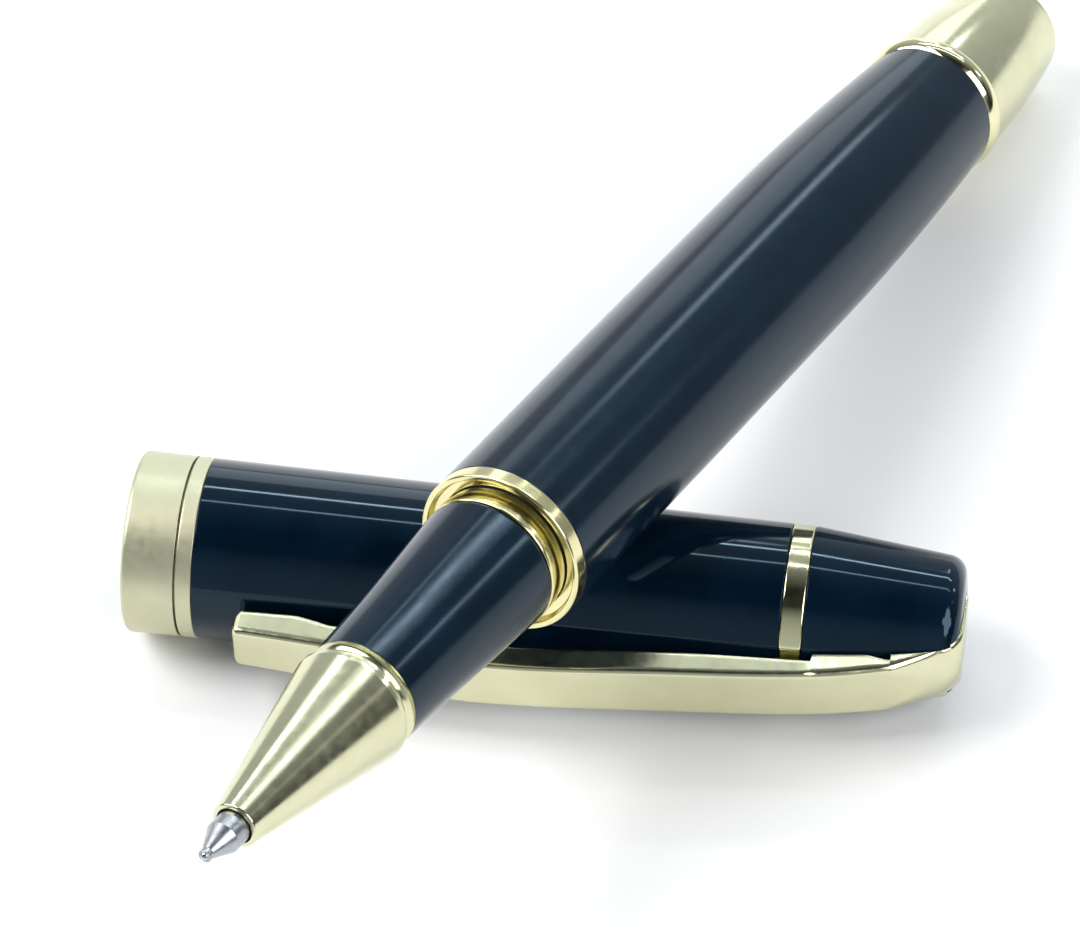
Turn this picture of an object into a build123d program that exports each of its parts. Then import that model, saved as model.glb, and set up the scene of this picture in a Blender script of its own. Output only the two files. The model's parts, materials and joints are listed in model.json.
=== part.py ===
from build123d import *
from math import asin, cos, hypot, radians, sin, sqrt
import os

# A capped rollerball pen, open: the cap lies on the surface along X, mouth towards -X,
# and the pen lies across it with its tail on the surface and its writing tip in the air.
# Millimetres, +Z up, z = 0 is the surface. The origin is the middle of the footprint.
#
# Stations along the cap count from its mouth (0) towards the crown.
# Stations along the pen count from the front of the barrel's mouth ring (0):
# positive towards the tail, negative towards the writing tip.

# ---------------------------------------------------------------- driving sizes
# The pen is made round its refill: bores and outer sizes build up from the refill outwards
# by clearances and walls, and the lengths of barrel and cap follow from what they hold.
# Clearances and small edges
SEAT = 0.02                 # between pieces that are pressed or glued together
RUN = 0.05                  # between a turning spigot and its bush
FREE = 0.30                 # round the refill, which slides
LAY = 0.10                  # between the barrel and the cap that it lies on
BEVEL = 0.12                # bevel on the edges of the metal rings

# Refill, a standard rollerball cartridge
REFILL_DIA = 6.1
REFILL_WALL = 0.35
REFILL_LEN = 110.5
REFILL_PLUG_LEN = 6.5
REFILL_PLUG_HEAD = 1.5
REFILL_NOSE_LEN = 10.5
REFILL_NOSE_BACK = 0.6      # from the cone's base to where the refill's nose begins
REFILL_TIP_DIA = 2.48
TIP_CYL_LEN = 1.35          # straight part that shows in front of the cone
TIP_CONE_LEN = 1.75
TIP_SNOUT_DIA = 0.96
TIP_SNOUT_LEN = 0.45
TIP_BEVEL = 0.09            # at the very front of the tip
BALL_DIA = 0.7
BALL_SHOW = 0.18            # how much of the ball stands out
BALL_PLAY = 0.02
FEED_DIA = 0.9
FEED_GAP = 0.3              # between the ball and the feed rod
FIBRE_GAP = 2.5             # fibre reservoir stops this far short of each end
NOSE_GRIP = 1.5             # length that the refill's nose grips the tip and the tube by
SPRING_ROOM = 4.52          # between the refill's end and the tail's end wall
SPRING_WIRE = 0.45
SPRING_DIA = 5.0
SPRING_TURNS = 4

# Grip section
CORE_WALL = 0.85            # brass core, behind its step
CORE_FRONT_WALL = 0.35      # brass core, in front of its step
CORE_FROM = 0.2             # core's front edge, behind the grip's
CORE_STEP_BACK = 2.0        # step in the core, in front of the hub
CORE_BEVEL = 0.4
GRIP_WALL = 0.98            # lacquered grip over the core, at its rear
GRIP_FRONT_WALL = 0.55
GRIP_LEN = 16.6
GRIP_WAIST = 0.04           # how much the grip's side hollows between its ends
GRIP_WAIST_AT = 0.45        # share of its length, from the front, where it hollows most
GRIP_ROUND = 0.35           # rounding of the grip's rear edge
HUB_LEN = 1.05              # gold ring behind the grip, in front of the barrel
HUB_SINK = 0.45             # how far the hub goes into the mouth ring
HUB_STEP = 0.08             # hub's shoulder over the mouth ring's hole
BEAD_STAND = 0.7            # bead over the grip's front
BEAD_LEN = 1.3
CONE_STAND = 0.2            # cone's base over the grip's front
CONE_LEN = 14.4
CONE_LIP = 0.45             # plain collar at the cone's large end
CONE_END_WALL = 0.32
CONE_HOLE_LEN = 1.0         # close hole at the cone's end, round the refill's tip
CONE_HOLE_GAP = 0.12
SPIGOT_LEN = 12.5           # spigot inside the barrel, from the mouth ring's front
THREAD_DEPTH = 0.22
THREAD_PITCH = 1.5          # advance for one turn of the section
THREAD_TURNS = 5
O_RING_WIRE = 0.8

# Barrel
RING_WIDTH = 1.12           # mouth ring's outer edge over the grip
RING_LEN = 1.22
RING_RIM = 0.42             # width of the mouth ring's raised rim
RING_RECESS = 0.6
RING_SLOPE = 0.15           # how much the recess narrows to its floor
RING_GAP = 0.34             # hub's shoulder stands this far off the mouth ring's front
BARREL_SWELL = 0.1          # straight middle of the barrel over the mouth ring
BARREL_STRAIGHT_FROM = 22.0
BARREL_STRAIGHT_TO = 42.0
BUSH_FROM = 1.6
BUSH_PAST = 1.1             # thread bush past the end of the spigot
BUSH_WALL = 1.35
SPIGOT_ROOM = 0.5           # barrel's bore over the spigot
BARREL_END_WALL = 0.8
TAIL_CORE_IN = 9.1          # tail core inside the barrel
TAIL_CORE_OUT = 5.4         # tail core past the barrel's end
TAIL_CORE_WALL = 0.75
TAIL_PLAY = 0.4             # round the refill, inside the tail core
TAIL_RING_LEN = 1.6
TAIL_RING_STAND = 0.3
FINIAL_LEN = 12.8
FINIAL_STEP = 0.1           # finial's front over the barrel's end
FINIAL_WALL = 1.9           # end wall
FINIAL_END_WALL = 1.0       # side wall at the end
FINIAL_ROUND = 0.9
FINIAL_SWELL = 0.18         # how much its side swells between its ends

# Cap
LIP_PLAY = 0.37             # lip band's bore over the grip
CLUTCH_PLAY = 0.095
LINER_PLAY = 0.12
LINER_WALL = 0.45
LINER_FLOOR = 1.0
TIP_ROOM = 3.76             # between the writing tip and the liner's floor when capped
CAP_WALL = 0.44             # lacquered tube's wall at the crown ring
CAP_FLARE = 0.49            # outer radius at the mouth over that at the crown ring
LIP_BAND_LEN = 3.9
LIP_ROUND = 0.3             # rounding of the lip's outer edge
LIP_GROOVE = 0.12           # dark line between the lip band and its trim ring
LIP_WALL = 0.55             # lacquered tube's wall over the lip band's sleeve
LIP_SPIGOT_LEN = 9.0        # mouth to the end of the lip band's inner sleeve
TRIM_RING_LEN = 1.3
CLUTCH_LEN = 4.8
CLUTCH_RIM = 1.2            # uncut ring behind the clutch's slots
CLUTCH_SLOTS = 6
CLUTCH_SLOT_WIDTH = 0.8
BUSH_SEAT_LEN = 5.8         # crown bush inside the tube
BUSH_STEP = 0.45            # crown bush's spigot under the tube's bore
BUSH_SPIGOT_LEN = 4.2
SCREW_DIA = 3.0
SCREW_HEAD_DIA = 5.4
SCREW_HEAD_LEN = 1.6
SCREW_SLOT = 0.8            # width and depth of the driver slot
SCREW_REACH = 8.5           # thread length inside the crown, past the crown ring
CROWN_RING_LEN = 1.7
CROWN_LEN = 9.8             # crown's tapered side
CROWN_TAPER = 1.06          # how much its radius shrinks over that length
CROWN_DOME = 1.6            # height of the rounded end
CROWN_EDGE = 1.3            # rounding between the crown's side and its end

# Clip, a cast bar on the cap's side that faces -Y. Its stand is how far its outer face
# is from the cap's surface.
CLIP_TIP = 8.6              # station of the free end
CLIP_TIP_STAND = 2.25
CLIP_RISE_LEN = 17.4        # from the free end to where the bar bows out most
CLIP_PEAK_STAND = 3.4
CLIP_MID_BACK = 6.65        # a place between the peak and the root, in front of the crown ring
CLIP_MID_STAND = 2.37
CLIP_ROOT_STAND = 1.45      # where the bar runs into the crown
CLIP_FALL_BACK = 3.3        # where the root falls in, in front of the crown side's end
CLIP_FALL_STAND = 0.9
CLIP_END_STAND = 0.22       # how far the root stands out where the crown's side ends
CLIP_TIP_WIDTH = 3.7        # widths are at the bow's height, and grow towards the cap
CLIP_WIDTH = 4.66
CLIP_ROOT_WIDTH = 4.1
CLIP_DRAFT = 8.0            # degrees that each flank leans
CLIP_THICK = 1.85           # thickness of the bar
CLIP_TIP_THICK = 1.3        # behind the pad
CLIP_TIP_ROUND = 0.5        # bevel of the pad's front edge
CLIP_EDGE = 0.08            # how far the root's rounding stands out of the crown's edge
CLIP_CORNER = 0.35          # room for the bar's corners where the root falls in
CLIP_PAD_LEN = 4.6          # pad under the free end, which grips the pocket
CLIP_PAD_RAMP = 2.4         # slope from the pad up to the bar's inner face
CLIP_PAD_GAP = 0.35         # between the pad and the cap
CLIP_GAP = 0.12             # between the clip's root or tang and the crown
TANG_WIDTH = 5.5
TANG_THICK = 0.85           # tang that is let into the crown's end
TANG_PAST_AXIS = 0.9        # how far the tang reaches past the cap's axis
ROOT_PAST_RING = 0.8        # where the root first meets the crown, past the crown ring
ROOT_SINK = 0.75            # how deep the root is let into the crown's side at its end
ROOT_SINK_LEN = 3.4         # length over which it sinks in
ROOT_NICK = 0.05            # depth at the start of the sunk stretch

# How the two lie together
CROSS_ON_CAP = 32.8         # station of the cap below the crossing
CROSS_ON_PEN = 10.8         # station of the pen above the crossing
CROSS_ANGLE = 67.5          # between cap and pen, seen from above

# ---------------------------------------------------------------- worked-out sizes
# Refill and grip section
refill_r = REFILL_DIA / 2
refill_in_r = refill_r - REFILL_WALL
tip_r = REFILL_TIP_DIA / 2
ball_r = BALL_DIA / 2
core_bore_r = refill_r + FREE
core_r = core_bore_r + CORE_WALL
front_core_r = core_bore_r + CORE_FRONT_WALL
grip_rear_r = core_r + GRIP_WALL
grip_front_r = front_core_r + GRIP_FRONT_WALL
bead_r = grip_front_r + BEAD_STAND
cone_base_r = grip_front_r + CONE_STAND
nose_bore_front = tip_r + CONE_HOLE_GAP
cone_end_r = nose_bore_front + CONE_END_WALL

hub_front = -RING_GAP - HUB_LEN
grip_front = hub_front - GRIP_LEN
bead_front = grip_front - BEAD_LEN
cone_front = bead_front - CONE_LEN
tip_front = cone_front - TIP_CYL_LEN - TIP_CONE_LEN - TIP_SNOUT_LEN
ball_at = tip_front + ball_r - BALL_SHOW
refill_end = ball_at - ball_r + REFILL_LEN

# Barrel and tail
ring_r = grip_rear_r + RING_WIDTH
ring_hole_r = grip_rear_r - HUB_STEP
barrel_r = ring_r + BARREL_SWELL
bush_seat_r = core_r + RUN + BUSH_WALL
bush_to = SPIGOT_LEN + BUSH_PAST
barrel_bore_r = core_r + SPIGOT_ROOM
barrel_end_r = barrel_bore_r + BARREL_END_WALL
core_hole_r = refill_r + TAIL_PLAY
core_spigot_r = core_hole_r + TAIL_CORE_WALL
tail_ring_r = barrel_end_r + TAIL_RING_STAND
finial_r = barrel_end_r + FINIAL_STEP
tail_r = core_hole_r + FINIAL_END_WALL
spring_room_to = refill_end + SPRING_ROOM
pen_tail = spring_room_to + FINIAL_WALL
tail_ring_to = pen_tail - FINIAL_LEN
barrel_end = tail_ring_to - TAIL_RING_LEN

# Cap
bore_r = grip_rear_r + LIP_PLAY
clutch_r = grip_rear_r + CLUTCH_PLAY
liner_r = grip_rear_r + LINER_PLAY
cap_in_r = liner_r + LINER_WALL
waist_r = cap_in_r + CAP_WALL
mouth_r = waist_r + CAP_FLARE
crown_r = waist_r - CROWN_TAPER
liner_floor_at = TIP_ROOM - tip_front
liner_end = liner_floor_at + LINER_FLOOR
tube_end = liner_end + BUSH_SEAT_LEN
crown_from = tube_end + CROWN_RING_LEN
crown_end = crown_from + CROWN_LEN
cap_length = crown_end + CROWN_DOME


def cap_r(station):
    """Outer radius of the cap's straight taper, mouth to crown ring."""
    return mouth_r + (waist_r - mouth_r) * station / crown_from


def crown_side_r(station):
    """Outer radius of the crown, which tapers faster than the tube."""
    return waist_r + (crown_r - waist_r) * (station - crown_from) / CROWN_LEN


def cone_r(station):
    """Outer radius of the nose cone, large end to tip hole."""
    share = (bead_front - CONE_LIP - station) / (CONE_LEN - CONE_LIP)
    return cone_base_r + (cone_end_r - cone_base_r) * share


# The cap tapers, so its axis dips towards the crown when it lies on its side.
cap_dip = asin((mouth_r - waist_r) / crown_from)
cap_axis_height = mouth_r * cos(cap_dip) - CROSS_ON_CAP * sin(cap_dip)

# The pen slopes down to its tail. The slope settles in a few rounds, because the height
# that the cap holds the pen at depends on it a little.
cross = radians(CROSS_ANGLE)
pen_slope = 0.2
for _ in range(30):
    across = sin(cross) * cos(pen_slope) / hypot(sin(pen_slope), sin(cross) * cos(pen_slope))
    lift = (cap_r(CROSS_ON_CAP) + barrel_r + LAY) / across
    cross_height = cap_axis_height + lift
    edge_height = (tail_r - FINIAL_ROUND) * cos(pen_slope) + FINIAL_ROUND
    pen_slope = asin((cross_height - edge_height) / (pen_tail - FINIAL_ROUND - CROSS_ON_PEN))

pen_dir = Vector(cos(cross) * cos(pen_slope), sin(cross) * cos(pen_slope), -sin(pen_slope))
pen_side = Vector(sin(cross), -cos(cross), 0)
cap_dir = Vector(cos(cap_dip), 0, -sin(cap_dip))
clip_dir = Vector(0, -1, 0)



def tail_reach(share):
    """How far the rounded tail reaches past the crossing along a direction, from the pen's share of it."""
    return (round_at - CROSS_ON_PEN) * share + (tail_r - FINIAL_ROUND) * sqrt(1 - share ** 2) + FINIAL_ROUND


# Footprint, which the origin is the middle of. The cap's mouth is its -X end and the writing
# ball its -Y end. The tail is its +X and +Y end, unless the cap's crown reaches further in X.
round_at = pen_tail - FINIAL_ROUND
x_low = -CROSS_ON_CAP * cos(cap_dip) - (mouth_r - LIP_ROUND) * sin(cap_dip)
x_high = max(tail_reach(pen_dir.X), (cap_length - CROSS_ON_CAP) * cos(cap_dip))
y_low = (ball_at - CROSS_ON_PEN) * pen_dir.Y - ball_r
y_high = tail_reach(pen_dir.Y)
cross_x = -(x_low + x_high) / 2
cross_y = -(y_low + y_high) / 2

pen_zero = Vector(cross_x, cross_y, cross_height) - pen_dir * CROSS_ON_PEN
cap_zero = Vector(cross_x, cross_y, cap_axis_height) - cap_dir * CROSS_ON_CAP

# Half-section planes: x runs along the piece's axis, y is the distance from it.
PEN = Plane(origin=pen_zero, x_dir=pen_dir, z_dir=pen_dir.cross(pen_side))
CAP = Plane(origin=cap_zero, x_dir=cap_dir, z_dir=cap_dir.cross(clip_dir))
PEN_AXIS = Axis(pen_zero, pen_dir)
CAP_AXIS = Axis(cap_zero, cap_dir)

os.makedirs("parts", exist_ok=True)


def cross_plane(frame, station):
    """Plane across an axis at a station, its normal pointing up the stations."""
    return Plane(origin=frame.origin + frame.x_dir * station, x_dir=frame.y_dir, z_dir=frame.x_dir)


def outline(*points):
    """Closed outline through (station, radius) points, added to the current sketch."""
    Polygon(*points, align=None)


# ---------------------------------------------------------------- cap: lip
band_end_r = cap_r(LIP_BAND_LEN)
sleeve_r = cap_r(LIP_BAND_LEN + TRIM_RING_LEN) - LIP_WALL
trim_from = LIP_BAND_LEN + LIP_GROOVE
trim_to = LIP_BAND_LEN + TRIM_RING_LEN

with BuildPart() as lip_band:
    with BuildSketch(CAP):
        with BuildLine():
            Polyline(
                (LIP_ROUND, mouth_r),
                (LIP_BAND_LEN - SEAT, band_end_r),
                (LIP_BAND_LEN - SEAT, sleeve_r),
                (LIP_SPIGOT_LEN, sleeve_r),
                (LIP_SPIGOT_LEN, bore_r),
                (0, bore_r),
                (0, mouth_r - LIP_ROUND),
            )
            TangentArc((0, mouth_r - LIP_ROUND), (LIP_ROUND, mouth_r), tangent=(0, 1))
        make_face()
    revolve(axis=CAP_AXIS)
lip_band.part.label = "lip_band"
export_step(lip_band.part, "parts/lip_band.step")

with BuildPart() as lip_trim_ring:
    with BuildSketch(CAP):
        outline(
            (trim_from, sleeve_r + SEAT),
            (trim_from, cap_r(trim_from)),
            (trim_to, cap_r(trim_to)),
            (trim_to, sleeve_r + SEAT),
        )
    revolve(axis=CAP_AXIS)
lip_trim_ring.part.label = "lip_trim_ring"
export_step(lip_trim_ring.part, "parts/lip_trim_ring.step")

# ---------------------------------------------------------------- cap: lacquered tube
with BuildPart() as cap_tube:
    with BuildSketch(CAP):
        outline(
            (trim_to + SEAT, sleeve_r + SEAT),
            (trim_to + SEAT, cap_r(trim_to)),
            (tube_end, cap_r(tube_end)),
            (tube_end, cap_in_r),
            (LIP_SPIGOT_LEN + SEAT, cap_in_r),
            (LIP_SPIGOT_LEN + SEAT, sleeve_r + SEAT),
        )
    revolve(axis=CAP_AXIS)
cap_tube.part.label = "cap_tube"
export_step(cap_tube.part, "parts/cap_tube.step")

# ---------------------------------------------------------------- cap: clutch and liner
clutch_from = LIP_SPIGOT_LEN + 2 * SEAT
clutch_to = clutch_from + CLUTCH_LEN
liner_from = clutch_to + SEAT
inner_seat_r = cap_in_r - SEAT

with BuildPart() as clutch_sleeve:
    with BuildSketch(CAP):
        outline(
            (clutch_from, clutch_r),
            (clutch_from, inner_seat_r),
            (clutch_to, inner_seat_r),
            (clutch_to, clutch_r),
        )
    revolve(axis=CAP_AXIS)
    with BuildSketch(cross_plane(CAP, clutch_from)):
        with PolarLocations(cap_in_r, CLUTCH_SLOTS):
            Rectangle(cap_in_r, CLUTCH_SLOT_WIDTH)
    extrude(amount=CLUTCH_LEN - CLUTCH_RIM, mode=Mode.SUBTRACT)
clutch_sleeve.part.label = "clutch_sleeve"
export_step(clutch_sleeve.part, "parts/clutch_sleeve.step")

with BuildPart() as inner_cap:
    with BuildSketch(CAP):
        outline(
            (liner_from, liner_r),
            (liner_from, inner_seat_r),
            (liner_end, inner_seat_r),
            (liner_end, 0),
            (liner_floor_at, 0),
            (liner_floor_at, liner_r),
        )
    revolve(axis=CAP_AXIS)
inner_cap.part.label = "inner_cap"
export_step(inner_cap.part, "parts/inner_cap.step")

# ---------------------------------------------------------------- cap: crown
bush_from = liner_end + SEAT
crown_bush_to = crown_from + BUSH_SPIGOT_LEN
bush_spigot_r = cap_in_r - BUSH_STEP
screw_r = SCREW_DIA / 2
head_r = SCREW_HEAD_DIA / 2
screw_to = crown_from + SCREW_REACH

with BuildPart() as crown_bush:
    with BuildSketch(CAP):
        outline(
            (bush_from, head_r + SEAT),
            (bush_from, inner_seat_r),
            (tube_end, inner_seat_r),
            (tube_end, bush_spigot_r),
            (crown_bush_to, bush_spigot_r),
            (crown_bush_to, screw_r + SEAT),
            (bush_from + SCREW_HEAD_LEN + SEAT, screw_r + SEAT),
            (bush_from + SCREW_HEAD_LEN + SEAT, head_r + SEAT),
        )
    revolve(axis=CAP_AXIS)
crown_bush.part.label = "crown_bush"
export_step(crown_bush.part, "parts/crown_bush.step")

with BuildPart() as crown_screw:
    with BuildSketch(CAP):
        outline(
            (bush_from, 0),
            (bush_from, head_r),
            (bush_from + SCREW_HEAD_LEN, head_r),
            (bush_from + SCREW_HEAD_LEN, screw_r),
            (screw_to, screw_r),
            (screw_to, 0),
        )
    revolve(axis=CAP_AXIS)
    with BuildSketch(cross_plane(CAP, bush_from)):
        Rectangle(SCREW_HEAD_DIA, SCREW_SLOT)
    extrude(amount=SCREW_SLOT, mode=Mode.SUBTRACT)
crown_screw.part.label = "crown_screw"
export_step(crown_screw.part, "parts/crown_screw.step")

with BuildPart() as crown_ring:
    with BuildSketch(CAP):
        outline(
            (tube_end + SEAT, bush_spigot_r + SEAT),
            (tube_end + SEAT, cap_r(tube_end)),
            (crown_from - SEAT, cap_r(crown_from)),
            (crown_from - SEAT, bush_spigot_r + SEAT),
        )
    revolve(axis=CAP_AXIS)
crown_ring.part.label = "crown_ring"
export_step(crown_ring.part, "parts/crown_ring.step")

dome_edge_r = crown_r - CROWN_EDGE
dome_edge_at = crown_end + CROWN_EDGE
dome_rise = cap_length - dome_edge_at
past_end = cap_length + 1
tang_floor = cap_length - TANG_THICK - CLIP_GAP
sink_from = crown_end - ROOT_SINK_LEN
sink_start_r = crown_side_r(sink_from) - ROOT_NICK
root_seat_r = crown_side_r(crown_end) - ROOT_SINK
tang_half_width = TANG_WIDTH / 2
slot_half_width = tang_half_width + CLIP_GAP
dome_r = (dome_edge_r ** 2 + dome_rise ** 2) / (2 * dome_rise)
with BuildPart() as crown_shell:
    with BuildSketch(CAP):
        with BuildLine():
            Polyline(
                (crown_end, crown_r),
                (crown_from, waist_r),
                (crown_from, bush_spigot_r + SEAT),
                (crown_bush_to + SEAT, bush_spigot_r + SEAT),
                (crown_bush_to + SEAT, screw_r + SEAT),
                (screw_to + SEAT, screw_r + SEAT),
                (screw_to + SEAT, 0),
                (cap_length, 0),
            )
            side = Vector(crown_end - crown_from, crown_r - waist_r)
            TangentArc((crown_end, crown_r), (dome_edge_at, dome_edge_r), tangent=side)
            RadiusArc((dome_edge_at, dome_edge_r), (cap_length, 0), dome_r)
        make_face()
    revolve(axis=CAP_AXIS)
    with BuildSketch(CAP):
        outline(
            (tang_floor, -TANG_PAST_AXIS - CLIP_GAP),
            (tang_floor, root_seat_r),
            (sink_from, sink_start_r),
            (sink_from, waist_r),
            (past_end, waist_r),
            (past_end, -TANG_PAST_AXIS - CLIP_GAP),
        )
    extrude(amount=slot_half_width, both=True, mode=Mode.SUBTRACT)
crown_shell.part.label = "crown_shell"
export_step(crown_shell.part, "parts/crown_shell.step")

# ---------------------------------------------------------------- clip
# The bar's side profile lies in the plane through the cap's axis. Its plan outline, seen
# square to the outer face, trims it to width, and a turned envelope rounds its root into
# the crown. The crown's own turned shape is cut out of the root.
root_at = crown_from + ROOT_PAST_RING
pad_to = CLIP_TIP + CLIP_PAD_LEN
pad_r = cap_r(CLIP_TIP) + CLIP_PAD_GAP
tip_rise = cap_r(CLIP_TIP) + CLIP_TIP_STAND
root_rise = waist_r + CLIP_ROOT_STAND
clip_peak = CLIP_TIP + CLIP_RISE_LEN
clip_mid = tube_end - CLIP_MID_BACK
clip_fall = crown_end - CLIP_FALL_BACK
peak_rise = cap_r(clip_peak) + CLIP_PEAK_STAND
mid_rise = cap_r(clip_mid) + CLIP_MID_STAND
fall_rise = crown_side_r(clip_fall) + CLIP_FALL_STAND
end_rise = crown_r + CLIP_END_STAND
edge_rise = crown_r + CLIP_EDGE
corner_rise = fall_rise + CLIP_CORNER
tang_from = tang_floor + CLIP_GAP

with BuildPart() as clip:
    with BuildSketch(CAP):
        with BuildLine():
            outer = Spline(
                (CLIP_TIP, tip_rise),
                (clip_peak, peak_rise),
                (clip_mid, mid_rise),
                (root_at, root_rise),
                (clip_fall, fall_rise),
                (crown_end, end_rise),
            )
            inner = Spline(
                (root_at, waist_r + CLIP_GAP),
                (clip_mid, mid_rise - CLIP_THICK),
                (clip_peak + 1, peak_rise - CLIP_THICK),
                (pad_to + CLIP_PAD_RAMP, cap_r(pad_to) + CLIP_TIP_STAND - CLIP_TIP_THICK),
            )
            Polyline(
                outer @ 1,
                (past_end, crown_r),
                (past_end, -TANG_PAST_AXIS),
                (tang_from, -TANG_PAST_AXIS),
                (tang_from, root_seat_r + CLIP_GAP),
                (sink_from, sink_start_r + CLIP_GAP),
                (root_at, root_seat_r),
                inner @ 0,
            )
            Polyline(
                inner @ 1,
                (pad_to, pad_r),
                (CLIP_TIP + CLIP_TIP_ROUND, pad_r),
                (CLIP_TIP, pad_r + CLIP_TIP_ROUND),
                outer @ 0,
            )
        make_face()
    extrude(amount=tang_half_width, both=True)
    with BuildSketch(Plane(origin=cap_zero + clip_dir * peak_rise, x_dir=cap_dir, z_dir=-clip_dir)):
        outline(
            (CLIP_TIP, CLIP_TIP_WIDTH / 2),
            (clip_peak, CLIP_WIDTH / 2),
            (past_end, CLIP_ROOT_WIDTH / 2),
            (past_end, -CLIP_ROOT_WIDTH / 2),
            (clip_peak, -CLIP_WIDTH / 2),
            (CLIP_TIP, -CLIP_TIP_WIDTH / 2),
        )
    extrude(amount=peak_rise + TANG_PAST_AXIS, taper=-CLIP_DRAFT, mode=Mode.INTERSECT)
    with BuildSketch(CAP):
        with BuildLine():
            Polyline(
                (crown_end, edge_rise),
                (clip_fall, corner_rise),
                (CLIP_TIP - 1, 2 * peak_rise),
                (CLIP_TIP - 1, 0),
                (cap_length, 0),
                (cap_length, dome_edge_r),
            )
            root_side = Vector(crown_end - clip_fall, edge_rise - corner_rise)
            TangentArc((crown_end, edge_rise), (cap_length, dome_edge_r), tangent=root_side)
        make_face()
    revolve(axis=CAP_AXIS, mode=Mode.INTERSECT)
    with BuildSketch(CAP):
        outline(
            (clip_mid, 0),
            (clip_mid, cap_r(clip_mid) + CLIP_GAP),
            (crown_from, waist_r + CLIP_GAP),
            (sink_from, crown_side_r(sink_from) + CLIP_GAP),
            (sink_from, 0),
        )
    revolve(axis=CAP_AXIS, mode=Mode.SUBTRACT)
clip.part.label = "clip"
export_step(clip.part, "parts/clip.step")

# ---------------------------------------------------------------- grip section
core_from = grip_front + CORE_FROM
core_end = SPIGOT_LEN
core_step = hub_front - CORE_STEP_BACK
thread_from = BUSH_FROM + THREAD_PITCH
grip_rear = hub_front - SEAT
waist_at = grip_front + GRIP_WAIST_AT * GRIP_LEN
grip_waist_r = grip_front_r + GRIP_WAIST_AT * (grip_rear_r - grip_front_r) - GRIP_WAIST

with BuildPart() as section_core:
    with BuildSketch(PEN):
        outline(
            (core_from, core_bore_r),
            (core_from, front_core_r),
            (core_step, front_core_r),
            (core_step, core_r),
            (core_end - CORE_BEVEL, core_r),
            (core_end, core_r - CORE_BEVEL),
            (core_end, core_bore_r),
        )
    revolve(axis=PEN_AXIS)
    with BuildSketch(PEN):
        for turn in range(THREAD_TURNS):
            station = thread_from + turn * THREAD_PITCH
            outline(
                (station - THREAD_DEPTH, core_r + SEAT),
                (station + THREAD_DEPTH, core_r + SEAT),
                (station, core_r - THREAD_DEPTH),
            )
    revolve(axis=PEN_AXIS, mode=Mode.SUBTRACT)
section_core.part.label = "section_core"
export_step(section_core.part, "parts/section_core.step")

with BuildPart() as grip_sleeve:
    with BuildSketch(PEN):
        with BuildLine():
            Polyline(
                (grip_front, grip_front_r),
                (grip_front, front_core_r + SEAT),
                (core_step - SEAT, front_core_r + SEAT),
                (core_step - SEAT, core_r + SEAT),
                (grip_rear, core_r + SEAT),
                (grip_rear, grip_rear_r - GRIP_ROUND),
            )
            TangentArc(
                (grip_rear, grip_rear_r - GRIP_ROUND),
                (grip_rear - GRIP_ROUND, grip_rear_r),
                tangent=(0, 1),
            )
            Spline(
                (grip_rear - GRIP_ROUND, grip_rear_r),
                (waist_at, grip_waist_r),
                (grip_front, grip_front_r),
            )
        make_face()
    revolve(axis=PEN_AXIS)
grip_sleeve.part.label = "grip_sleeve"
export_step(grip_sleeve.part, "parts/grip_sleeve.step")

with BuildPart() as hub_ring:
    with BuildSketch(PEN):
        outline(
            (hub_front, core_r + SEAT),
            (hub_front, grip_rear_r - BEVEL),
            (hub_front + BEVEL, grip_rear_r),
            (-RING_GAP, grip_rear_r),
            (-RING_GAP, ring_hole_r - RUN),
            (HUB_SINK, ring_hole_r - RUN),
            (HUB_SINK, core_r + SEAT),
        )
    revolve(axis=PEN_AXIS)
hub_ring.part.label = "hub_ring"
export_step(hub_ring.part, "parts/hub_ring.step")

with BuildPart() as bead_ring:
    with BuildSketch(PEN):
        with BuildLine():
            Polyline(
                (grip_front - SEAT, grip_front_r),
                (grip_front - SEAT, front_core_r + SEAT),
                (bead_front + SEAT, front_core_r + SEAT),
                (bead_front + SEAT, cone_base_r - BEVEL),
            )
            ThreePointArc(
                (bead_front + SEAT, cone_base_r - BEVEL),
                ((grip_front + bead_front) / 2, bead_r),
                (grip_front - SEAT, grip_front_r),
            )
        make_face()
    revolve(axis=PEN_AXIS)
bead_ring.part.label = "bead_ring"
export_step(bead_ring.part, "parts/bead_ring.step")

# The cone screws over the front of the core, so a short collar of it lies inside the bead.
refill_nose_to = bead_front - REFILL_NOSE_BACK
refill_nose_from = refill_nose_to - REFILL_NOSE_LEN
with BuildPart() as nose_cone:
    with BuildSketch(PEN):
        outline(
            (bead_front, cone_base_r - BEVEL),
            (bead_front - BEVEL, cone_base_r),
            (bead_front - CONE_LIP, cone_base_r),
            (cone_front + BEVEL, cone_r(cone_front + BEVEL)),
            (cone_front, cone_r(cone_front + BEVEL) - BEVEL),
            (cone_front, nose_bore_front),
            (cone_front + CONE_HOLE_LEN, nose_bore_front),
            (refill_nose_from, tip_r + FREE),
            (refill_nose_to, core_bore_r),
            (bead_front, core_bore_r),
        )
    revolve(axis=PEN_AXIS)
nose_cone.part.label = "nose_cone"
export_step(nose_cone.part, "parts/nose_cone.step")

o_ring_wire_r = O_RING_WIRE / 2
with BuildPart() as section_o_ring:
    with BuildSketch(PEN):
        with Locations((HUB_SINK + o_ring_wire_r + SEAT, core_r + o_ring_wire_r + SEAT)):
            Circle(o_ring_wire_r)
    revolve(axis=PEN_AXIS)
section_o_ring.part.label = "section_o_ring"
export_step(section_o_ring.part, "parts/section_o_ring.step")

# ---------------------------------------------------------------- barrel

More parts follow.
